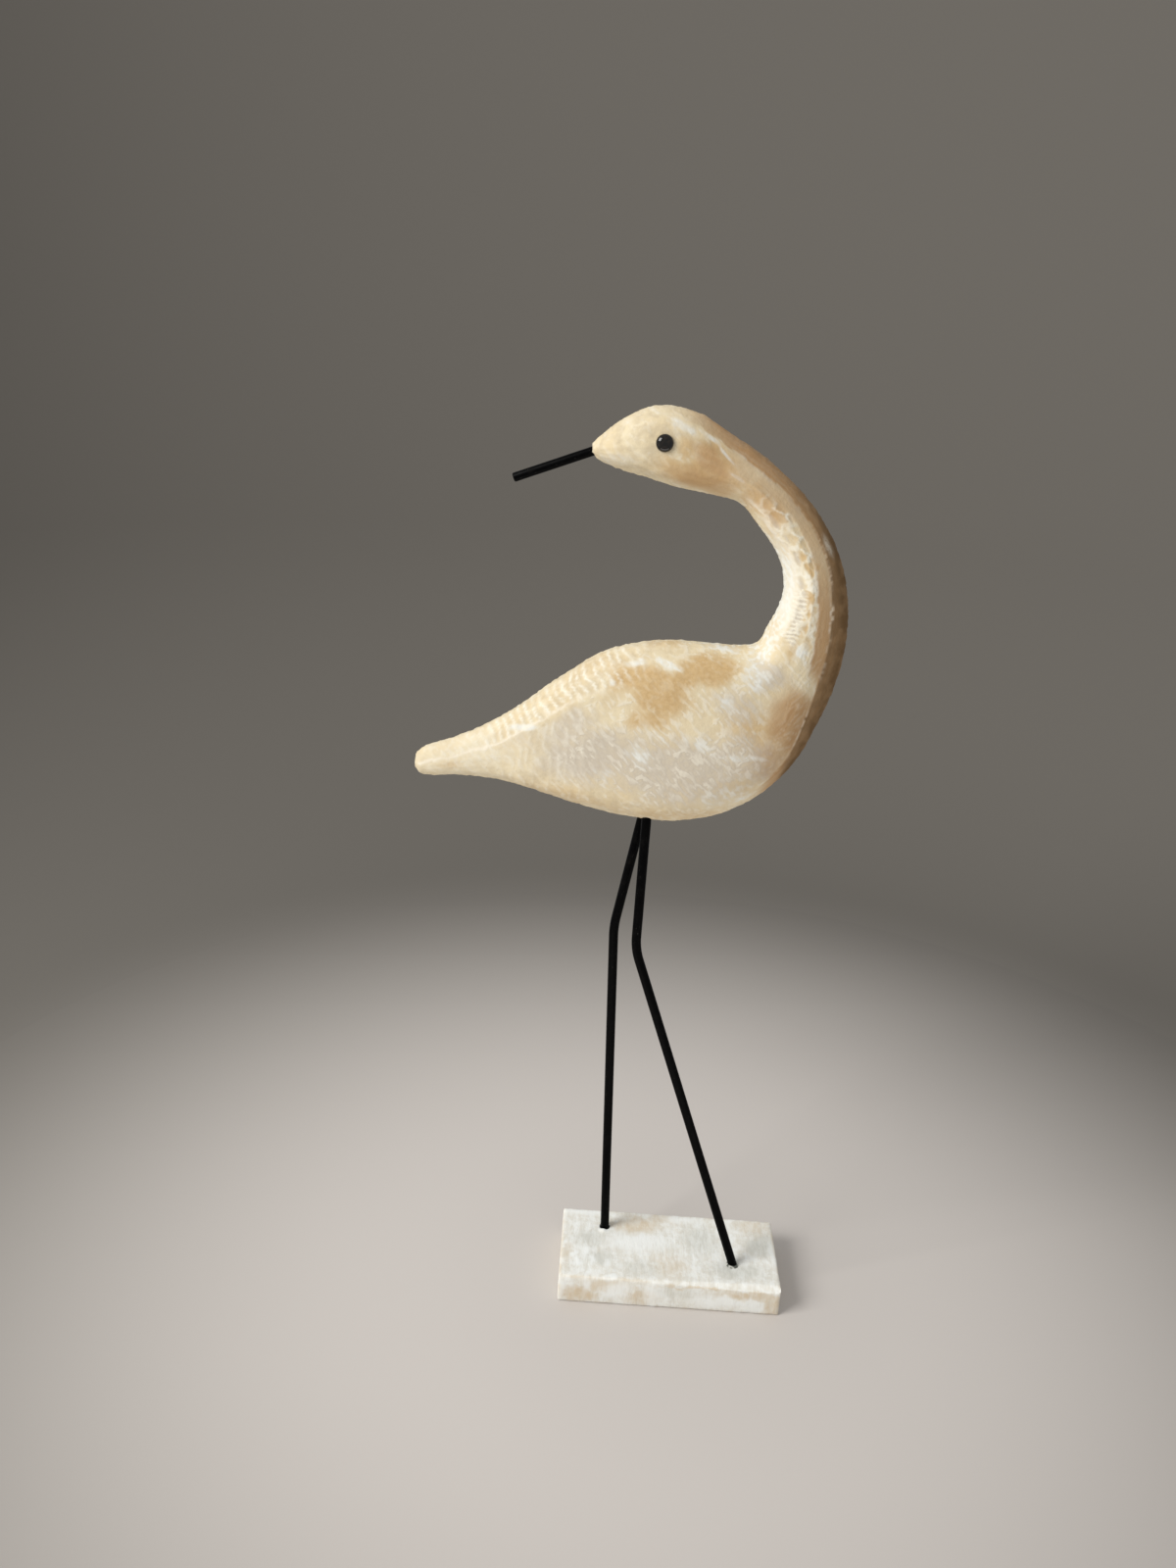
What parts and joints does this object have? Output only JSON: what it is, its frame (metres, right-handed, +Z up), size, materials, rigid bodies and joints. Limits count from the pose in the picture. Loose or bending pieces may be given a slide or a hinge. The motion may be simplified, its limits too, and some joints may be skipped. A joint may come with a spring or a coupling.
{
  "type": "wooden bird figure on stand",
  "caption": "Long-necked wading bird carved in whitewashed wood, its neck curved back over its body, on bent black rod legs in a flat block.",
  "frame": {"origin": "centre of the underside of the base block", "axes": "+X along the block's length, from the tail's side to the breast's side; +Y from the side of the nearer leg to the side of the farther one; +Z up"},
  "size_m": [0.2036, 0.055, 0.4642],
  "materials": {
    "whitewashed_wood": "carved wood, limewashed and rubbed back, dull",
    "whitewashed_block": "sawn wood under a nearly full coat of limewash, dull",
    "black_painted_rod": "satin black paint on steel rod",
    "black_bead": "glossy black bead"
  },
  "bodies": {
    "root": {"bird": "whitewashed_wood", "beak_rod": "black_painted_rod", "eye_left": "black_bead", "eye_right": "black_bead", "leg_near": "black_painted_rod", "leg_far": "black_painted_rod", "base_block": "whitewashed_block"}
  },
  "joints": []
}
